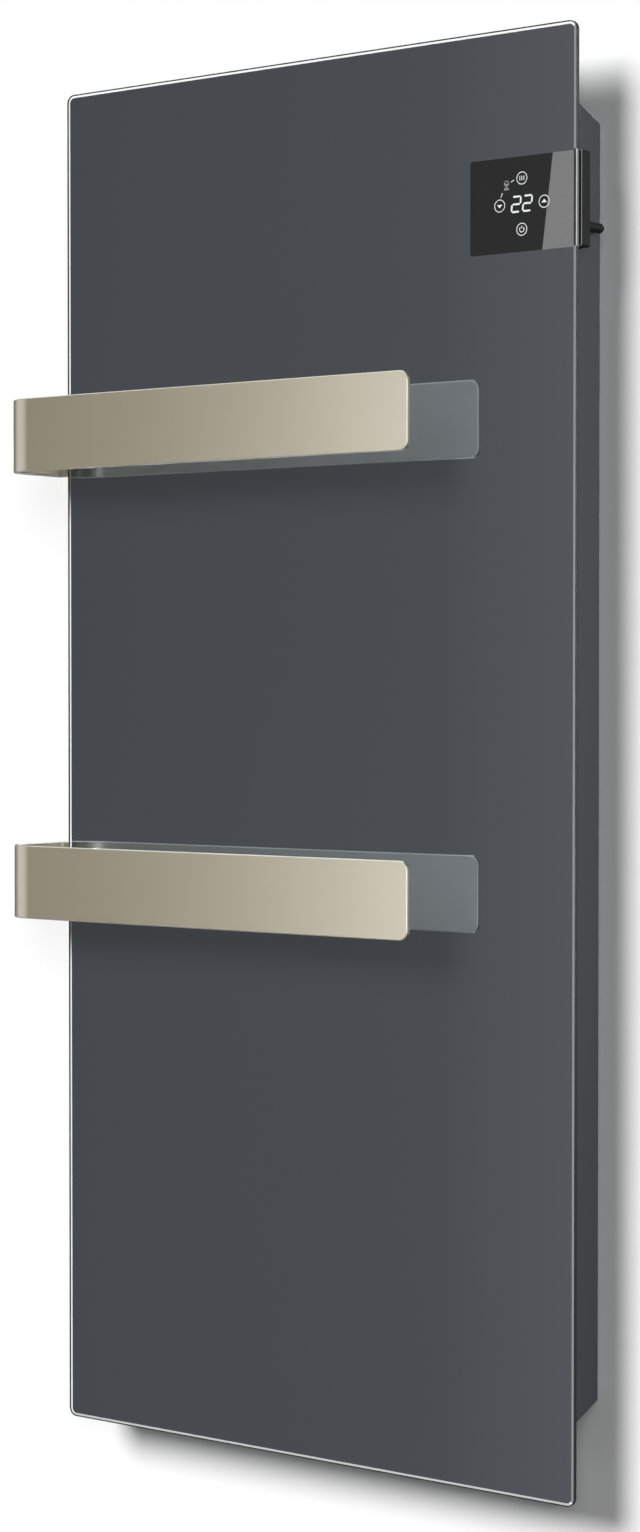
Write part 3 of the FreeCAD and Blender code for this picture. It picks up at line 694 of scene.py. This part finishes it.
def make_glass_sheet():
    bm = bmesh.new()
    outer_front = glass_front + border_drop
    corners = upright_plate(bm, glass_low.x, glass_high.x, glass_low.z, glass_high.z, outer_front)
    round_corners(bm, corners, glass_corner)
    back = bmesh.ops.extrude_face_region(bm, geom=bm.faces[:])["geom"]
    bmesh.ops.translate(bm, verts=verts_of(back), vec=(0, glass_high.y - outer_front, 0))
    bmesh.ops.recalc_face_normals(bm, faces=bm.faces[:])
    rims = [edge for edge in bm.edges if abs(edge.verts[0].co.y - edge.verts[1].co.y) < level_tolerance]
    bevel_edges(bm, rims, width=glass_arris, segments=arris_segments)
    for face in bm.faces:
        face.material_index = dark_edge
    field = largest_front_face(bm)
    bmesh.ops.inset_region(bm, faces=[field], thickness=dark_strip, use_even_offset=True)
    bmesh.ops.translate(bm, verts=field.verts[:], vec=(border_shift, 0, 0))
    border = bmesh.ops.inset_region(bm, faces=[field], thickness=border_width, use_even_offset=True)["faces"]
    bmesh.ops.translate(bm, verts=field.verts[:], vec=(0, -border_drop, 0))
    field.material_index = slate
    for face in border:
        face.material_index = border_tone(face.calc_center_median())
    mark_edge_over_control(bm)
    materials = [
        finishes["slate_glass"], painted_light_border_finish(), dark_edge_finish(),
        painted_shade_border_finish(), painted_glare_edge_finish(), painted_dim_border_finish(),
    ]
    piece = make_piece("glass_sheet", bm, "heater", materials)
    even_shading(piece)
    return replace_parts(piece, "glass_panel")


# Towel rails: flat bar bent round the glass's left edge
def make_rail_surface(bm, low, high, leg_end):
    """The bar's outer face, from the end of its front arm round to its leg behind the glass."""
    end_corners = [bm.verts.new((high.x, low.y, z)) for z in (low.z, high.z)]
    edge = bm.edges.new(end_corners)
    ease = Vector((math.sin(rail_sweep_turn), math.cos(rail_sweep_turn), 0))
    ease *= rail_sweep_radius - rail_bend_radius
    bend_centre = Vector((low.x + rail_bend_radius, low.y + rail_sweep_radius - ease.y, 0))
    sweep_centre = bend_centre + ease
    rear_centre = Vector((low.x + rail_rear_bend, high.y - rail_rear_bend, 0))
    edge = draw_on(bm, edge, (sweep_centre.x - high.x, 0, 0))
    edge = bend_on(bm, edge, sweep_centre, up, -rail_sweep_turn, rail_sweep_steps)
    edge = bend_on(bm, edge, bend_centre, up, rail_sweep_turn - quarter_turn, rail_bend_steps)
    edge = draw_on(bm, edge, (0, rear_centre.y - bend_centre.y, 0))
    edge = bend_on(bm, edge, rear_centre, up, -quarter_turn, rail_rear_steps)
    draw_on(bm, edge, (leg_end - rear_centre.x, 0, 0))
    round_corners(bm, end_corners, rail_end_corner)
    bmesh.ops.recalc_face_normals(bm, faces=bm.faces[:])
    if max(bm.faces, key=lambda face: face.calc_area()).normal.y > 0:
        bmesh.ops.reverse_faces(bm, faces=bm.faces[:])


def mark_painted_highlights(bm, painted_highlight_edges):
    """The cut edges and the inside of the rear bend take the painted highlight."""
    bm.normal_update()
    painted_bend_highlight = [
        face for face in bm.faces
        if face.normal.x > inside_bend_lean and face.normal.y < -inside_bend_lean
    ]
    for face in [*painted_highlight_edges, *painted_bend_highlight]:
        face.material_index = painted_highlight


def make_towel_rail(name, node, bracket):
    low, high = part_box(node)
    leg_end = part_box(bracket)[1].x
    bm = bmesh.new()
    make_rail_surface(bm, low, high, leg_end)
    bmesh.ops.solidify(bm, geom=bm.faces[:], thickness=rail_thickness)
    rims = [edge for edge in bm.edges if edge.calc_face_angle() > rail_rim_angle]
    painted_highlight_edges = bevel_edges(bm, rims, width=rail_edge_chamfer, segments=1)
    mark_painted_highlights(bm, painted_highlight_edges)
    for edge in bm.edges:
        edge.smooth = edge.calc_face_angle() < rail_crease_angle
    materials = [finishes["rail_aluminium"], painted_highlight_edge_finish()]
    piece = make_piece(name, bm, "heater", materials)
    even_shading(piece)
    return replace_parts(piece, node)


# Control window: the clear opening in the slate, which shows the black fascia with a pale slanted painted
# reflection of a glare
def make_control_window():
    low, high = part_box("control_fascia")
    foot = on_glass(low)
    head = on_glass(Vector((low.x, low.y, high.z)))
    right = glass_high.x - field_inset
    bm = bmesh.new()
    corners = upright_plate(bm, foot.x, right, foot.z, head.z, glass_front - print_thickness / 2)
    left_corners = [corner for corner in corners if corner.co.x < right - window_corner]
    round_corners(bm, left_corners, window_corner)
    # The painted glare's slanted border, and which faces take it
    lean = Vector((1, 0, -painted_glare_lean))
    glare_edge_point = Vector((foot.x + painted_glare_foot, glass_front, foot.z))
    cut_across(bm, glare_edge_point, lean)
    for face in bm.faces:
        in_painted_glare = (face.calc_center_median() - glare_edge_point).dot(lean) > 0
        face.material_index = painted_glare if in_painted_glare else black_panel
    face_front(bm)
    materials = [window_black_finish(), window_painted_glare_finish()]
    piece = make_piece("control_window", bm, "heater", materials)
    thicken(piece, print_thickness, offset=0)
    return piece


# The fascia's front edge chamfer, pale with a painted highlight, which shows beside the glass
def make_fascia_edge():
    low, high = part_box("control_fascia")
    bm = bmesh.new()
    corners = upright_plate(bm, low.x, high.x, low.z, high.z, low.y + fascia_chamfer)
    round_corners(bm, corners, window_corner)
    face_front(bm)
    middle = bm.faces[:][0]
    bmesh.ops.inset_region(
        bm, faces=[middle], thickness=fascia_chamfer, use_even_offset=True, use_boundary=True,
    )
    bmesh.ops.translate(bm, verts=middle.verts[:], vec=(0, -fascia_chamfer, 0))
    bmesh.ops.delete(bm, geom=[middle], context="FACES")
    bmesh.ops.translate(bm, verts=bm.verts[:], vec=(0, -print_thickness, 0))
    piece = make_piece("fascia_edge", bm, "heater", [fascia_painted_highlight_finish()])
    thicken(piece, print_thickness, offset=-1)
    return piece


# Printed symbols, drawn flat about a centre on the glass
def place_flat(bm, verts, centre, angle=0.0):
    bmesh.ops.rotate(bm, verts=verts, matrix=Matrix.Rotation(-angle, 3, "Y"))
    bmesh.ops.translate(bm, verts=verts, vec=centre)


def add_bar(bm, start, end, width):
    run = end - start
    half = run.length / 2
    corners = upright_plate(bm, -half, half, -width / 2, width / 2, 0)
    place_flat(bm, corners, (start + end) / 2, math.atan2(run.z, run.x))
    round_corners(bm, corners, width * bar_rounding)


def add_ring(bm, centre, radius, width, start=0.0, turn=full_turn):
    """A ring, or an arc of one, from a short radial line turned about the centre."""
    inner = bm.verts.new((radius - width / 2, 0, 0))
    outer = bm.verts.new((radius + width / 2, 0, 0))
    place_flat(bm, [inner, outer], centre, start)
    line = bm.edges.new((inner, outer))
    bmesh.ops.spin(
        bm, geom=[inner, outer, line], cent=centre, axis=(0, -1, 0), angle=turn, steps=ring_steps,
        use_merge=turn == full_turn,
    )


def add_arrow(bm, centre, angle):
    corners = bmesh.ops.create_circle(bm, cap_ends=True, segments=3, radius=arrow_radius)["verts"]
    bmesh.ops.rotate(bm, verts=corners, matrix=Matrix.Rotation(quarter_turn, 3, "X"))
    bmesh.ops.scale(bm, verts=corners, vec=arrow_stretch)
    place_flat(bm, corners, centre, angle)
    round_corners(bm, corners, arrow_radius * arrow_rounding)


def add_power_sign(bm, centre):
    """A ring open at the top, with a bar in the gap."""
    start = quarter_turn + power_ring_gap
    turn = 2 * (half_turn - power_ring_gap)
    add_ring(bm, centre, power_ring_radius, key_line, start, turn)
    add_bar(bm, centre + up * power_bar_foot, centre + up * power_bar_head, key_line)


def add_mode_sign(bm, centre):
    """Three upright bars."""
    for side in (-1, 0, 1):
        middle = centre + Vector((side * mode_bar_pitch, 0, 0))
        add_bar(bm, middle - up * mode_bar_half, middle + up * mode_bar_half, key_line)


def add_digit_two(bm, centre):
    """The five lit bars of a two on a seven-bar display."""
    half_width = digit_width / 2
    half_height = digit_height / 2

    def point(side, level):
        x = side * half_width + level * half_height * digit_slant
        return centre + Vector((x, 0, level * half_height))

    stops = [point(-1, 1), point(1, 1), point(1, 0), point(-1, 0), point(-1, -1), point(1, -1)]
    for start, end in zip(stops, stops[1:]):
        joint = (end - start).normalized() * digit_joint
        add_bar(bm, start + joint, end - joint, digit_stroke)


def finish_print(name, bm, material):
    face_front(bm)
    piece = make_piece(name, bm, "heater", [material])
    thicken(piece, print_thickness, offset=0)
    return piece


def make_display_digits(centre):
    bm = bmesh.new()
    for side in (-1, 1):
        add_digit_two(bm, centre + Vector((side * digit_pitch / 2, 0, 0)))
    return finish_print("display_digits", bm, print_white_finish())


def make_touch_symbols(centre):
    mode_key = centre + Vector((0, 0, key_spacing_z))
    power_key = centre - Vector((0, 0, key_spacing_z))
    minus_key = centre - Vector((key_spacing_x, 0, 0))
    plus_key = centre + Vector((key_spacing_x, 0, 0))
    bm = bmesh.new()
    for key in (mode_key, power_key, minus_key, plus_key):
        add_ring(bm, key, key_ring_radius, key_line)
    add_arrow(bm, minus_key, angle=half_turn)
    add_arrow(bm, plus_key, angle=0)
    add_power_sign(bm, power_key)
    add_mode_sign(bm, mode_key)
    add_bar(bm, mode_key + mode_tick_start, mode_key + mode_tick_end, key_line)
    add_bar(bm, minus_key + minus_tick_start, minus_key + minus_tick_end, key_line)
    return finish_print("touch_symbols", bm, print_white_finish())


def make_state_symbols(centre):
    """Two small dim marks beside the mode key: a half-filled ring and an arch."""
    ring = centre + half_filled_mark
    arch = centre + arch_mark
    bm = bmesh.new()
    add_ring(bm, ring, mark_radius, key_line)
    add_ring(bm, ring, half_fill_radius, mark_fill_width, start=half_turn, turn=half_turn)
    add_ring(bm, arch, mark_radius, key_line, turn=half_turn)
    add_ring(bm, arch, arch_fill_radius, mark_fill_width, turn=half_turn)
    return finish_print("state_symbols", bm, print_dim_finish())


# Every solid takes the finish of its slot
for part in frame["record"]["subparts"]:
    frame["nodes"][part["node"]].material_slots[0].material = finishes[part["material_slot"]]

make_glass_sheet()
rail_bars = [
    make_towel_rail("upper_rail_bar", "upper_towel_rail", "upper_rail_bracket"),
    make_towel_rail("lower_rail_bar", "lower_towel_rail", "lower_rail_bracket"),
]
make_control_window()
make_fascia_edge()

# The symbols lie on the window's skin, where the camera sees the display's centre on the fascia
display_low, display_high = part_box("display_module")
display_centre = (display_low + display_high) / 2
display_centre.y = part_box("control_fascia")[0].y
symbol_centre = on_glass(display_centre) + symbol_shift
symbol_centre.y = glass_front - print_thickness - print_thickness / 2
make_display_digits(symbol_centre)
make_touch_symbols(symbol_centre)
make_state_symbols(symbol_centre)


# Stage
def bare_material(name):
    """A material with nothing but its output."""
    material = bpy.data.materials.new(name)
    material.use_nodes = True
    material.node_tree.nodes.remove(shader_of(material))
    return material


def stage_white():
    """Matt white that the camera sees brighter than the object does, open to rear lamps and rear views."""
    material = bare_material("stage_white")
    tree = material.node_tree
    matt = tree.nodes.new("ShaderNodeBsdfDiffuse")
    path = tree.nodes.new("ShaderNodeLightPath")
    white = tree.nodes.new("ShaderNodeMapRange")
    white.inputs["To Min"].default_value = wall_bounce
    white.inputs["To Max"].default_value = wall_white
    tree.links.new(path.outputs["Is Camera Ray"], white.inputs["Value"])
    tree.links.new(white.outputs["Result"], matt.inputs["Color"])
    clear = tree.nodes.new("ShaderNodeBsdfTransparent")
    geometry = tree.nodes.new("ShaderNodeNewGeometry")
    passing = tree.nodes.new("ShaderNodeMath")
    passing.operation = "MAXIMUM"
    tree.links.new(geometry.outputs["Backfacing"], passing.inputs[0])
    tree.links.new(path.outputs["Is Shadow Ray"], passing.inputs[1])
    choice = tree.nodes.new("ShaderNodeMixShader")
    tree.links.new(passing.outputs["Value"], choice.inputs["Fac"])
    tree.links.new(matt.outputs["BSDF"], choice.inputs[1])
    tree.links.new(clear.outputs["BSDF"], choice.inputs[2])
    tree.links.new(choice.outputs["Shader"], tree.nodes["Material Output"].inputs["Surface"])
    return material


def make_stage():
    """A pale floor that curves up into the wall."""
    bm = bmesh.new()
    ends = [bm.verts.new((x, -stage_depth, floor_height)) for x in (-stage_half_width, stage_half_width)]
    edge = bm.edges.new(ends)
    cove_centre = Vector((0, -cove_radius, floor_height + cove_radius))
    edge = draw_on(bm, edge, (0, stage_depth - cove_radius, 0))
    edge = bend_on(bm, edge, cove_centre, (1, 0, 0), quarter_turn, cove_steps)
    draw_on(bm, edge, (0, 0, wall_top - floor_height - cove_radius))
    bmesh.ops.translate(bm, verts=bm.verts[:], vec=(0, wall_clearance, 0))
    bmesh.ops.recalc_face_normals(bm, faces=bm.faces[:])
    if max(bm.faces, key=lambda face: face.calc_center_median().z).normal.y > 0:
        bmesh.ops.reverse_faces(bm, faces=bm.faces[:])
    stage = link_mesh("wall_and_floor", bm, [stage_white()])
    smooth_faces(stage)


make_stage()


def reflected_grey():
    """The dim side of the studio that the glass mirrors, lighter towards the right, with one soft step."""
    left = reflected_tones[0][0]
    right = reflected_tones[-1][0]
    material = bare_material("reflected_grey")
    tree = material.node_tree
    coordinates = tree.nodes.new("ShaderNodeTexCoord")
    axes = tree.nodes.new("ShaderNodeSeparateXYZ")
    spread = tree.nodes.new("ShaderNodeMapRange")
    spread.inputs["From Min"].default_value = left
    spread.inputs["From Max"].default_value = right
    tones = tree.nodes.new("ShaderNodeValToRGB")
    stops = tones.color_ramp.elements
    for x, _ in reflected_tones[1:-1]:
        stops.new((x - left) / (right - left))
    for stop, (_, grey) in zip(stops, reflected_tones):
        stop.color = (grey, grey, grey, 1)
    glow = tree.nodes.new("ShaderNodeEmission")
    tree.links.new(coordinates.outputs["Object"], axes.inputs["Vector"])
    tree.links.new(axes.outputs["X"], spread.inputs["Value"])
    tree.links.new(spread.outputs["Result"], tones.inputs["Fac"])
    tree.links.new(tones.outputs["Color"], glow.inputs["Color"])
    tree.links.new(glow.outputs["Emission"], tree.nodes["Material Output"].inputs["Surface"])
    return material


def make_dim_card():
    """A dim card that only reflections see."""
    bm = bmesh.new()
    upright_plate(bm, card_left, card_right, card_bottom, card_top, card_depth)
    card = link_mesh("dim_card", bm, [reflected_grey()])
    card.visible_camera = False
    card.visible_diffuse = False
    card.visible_shadow = False
    card.visible_transmission = False


make_dim_card()


# Light
def aim(obj, direction):
    obj.rotation_mode = "QUATERNION"
    obj.rotation_quaternion = Vector(direction).to_track_quat("-Z", "Y")


def link_lamp(name, light, direction):
    lamp = bpy.data.objects.new(name, light)
    aim(lamp, direction)
    bpy.context.scene.collection.objects.link(lamp)
    return lamp


def soft_box(name, place, target, width, height, power):
    """A lamp at a place, turned to a target and hidden from the camera, with its power in watts."""
    light = bpy.data.lights.new(name, "AREA")
    light.shape = "RECTANGLE"
    light.size = width
    light.size_y = height
    light.energy = power
    lamp = link_lamp(name, light, Vector(target) - Vector(place))
    lamp.location = place
    lamp.visible_camera = False
    return lamp


def soft_sun(name, direction, strength):
    """Even light from one side, without a mirror image."""
    light = bpy.data.lights.new(name, "SUN")
    light.angle = sun_softness
    light.energy = strength
    lamp = link_lamp(name, light, direction)
    lamp.visible_glossy = False
    return lamp


def light_from_lamp_side(lamps):
    """These lamps are sampled from their own side alone."""
    for lamp in lamps:
        lamp.data.cycles.use_multiple_importance_sampling = False


def make_room_lights():
    """Two suns from the front, and two lamps behind for the right side and the rear."""
    soft_sun("key_light", (0.32, 1.0, -0.64), strength=3.3)
    soft_sun("fill_light", (-0.80, 1.0, -0.45), strength=0.65)
    rear_lamps = [
        soft_box("right_rear_light", (2.2, 1.6, 0.4), (0.25, 0, 0), width=1.2, height=1.8, power=21),
        soft_box("left_rear_light", (-0.9, 3.0, 0.9), (0, 0, 0), width=1.5, height=1.5, power=80),
    ]
    light_from_lamp_side(rear_lamps)


def make_rail_lights():
    """Lamps that only the rails receive: cool ones behind, and others that show in their gloss alone."""
    back_lamps = [
        soft_box(
            "rail_back_soft_box", (-1.3, 2.4, -0.1), (-1.3, 0, -0.1), width=0.4, height=2.4, power=22,
        ),
        soft_box(
            "rail_back_left_soft_box", (-2.1, 2.4, -0.1), (-2.1, 0, -0.1), width=0.6, height=2.4, power=7.5,
        ),
        soft_sun("rail_back_light", (-0.55, -1.0, -0.45), strength=8.5),
    ]
    shine_lamps = [
        soft_box(
            "rail_soft_box", (-1.3, -2.45, -0.1), (-1.3, 0, -0.1), width=0.4, height=2.4, power=21,
        ),
        soft_box(
            "rail_left_soft_box", (-2.3, -0.91, 0), (0, -0.91, 0), width=1.45, height=2.0, power=13.5,
        ),
        soft_box(
            "rail_right_soft_box", (2.4, -1.75, 0.1), (0.13, -0.1, 0.1), width=0.8, height=2.4, power=18,
        ),
        soft_box(
            "rail_top_soft_box", (-0.4, -0.1, 2.1), (-0.4, -0.1, 0), width=3.2, height=1.0, power=20,
        ),
    ]
    inner_lamp = soft_box(
        "rail_inner_soft_box", (1.5, 1.9, 0), (-0.27, -0.07, 0), width=0.8, height=2.4, power=5,
    )
    rails = bpy.data.collections.new("rail_bars")
    for bar in rail_bars:
        rails.objects.link(bar)
    for lamp in back_lamps:
        lamp.data.color = cool_white
    for lamp in [*shine_lamps, inner_lamp]:
        lamp.visible_diffuse = False
    for lamp in [*back_lamps, *shine_lamps, inner_lamp]:
        lamp.light_linking.receiver_collection = rails
        lamp.data.use_shadow = False
    light_from_lamp_side([*back_lamps, inner_lamp])


make_room_lights()
make_rail_lights()


def make_studio():
    """A dim even light all round, brighter in reflections, which the camera sees as a pale room."""
    studio = bpy.data.worlds.new("studio")
    studio.use_nodes = True
    tree = studio.node_tree
    light = tree.nodes["Background"]
    light.inputs["Color"].default_value = (1, 1, 1, 1)
    path = tree.nodes.new("ShaderNodeLightPath")
    reflected = tree.nodes.new("ShaderNodeMapRange")
    reflected.inputs["To Min"].default_value = room_grey
    reflected.inputs["To Max"].default_value = room_gloss
    seen = tree.nodes.new("ShaderNodeMapRange")
    seen.inputs["To Max"].default_value = room_white
    tree.links.new(path.outputs["Is Glossy Ray"], reflected.inputs["Value"])
    tree.links.new(path.outputs["Is Camera Ray"], seen.inputs["Value"])
    tree.links.new(reflected.outputs["Result"], seen.inputs["To Min"])
    tree.links.new(seen.outputs["Result"], light.inputs["Strength"])
    bpy.context.scene.world = studio


make_studio()


def make_camera():
    lens = bpy.data.cameras.new("photo_camera")
    lens.lens = camera_lens_mm
    camera = bpy.data.objects.new("photo_camera", lens)
    camera.location = camera_place
    aim(camera, camera_forward)
    bpy.context.scene.collection.objects.link(camera)
    bpy.context.scene.camera = camera
    bpy.context.scene.view_settings.view_transform = "Standard"


make_camera()
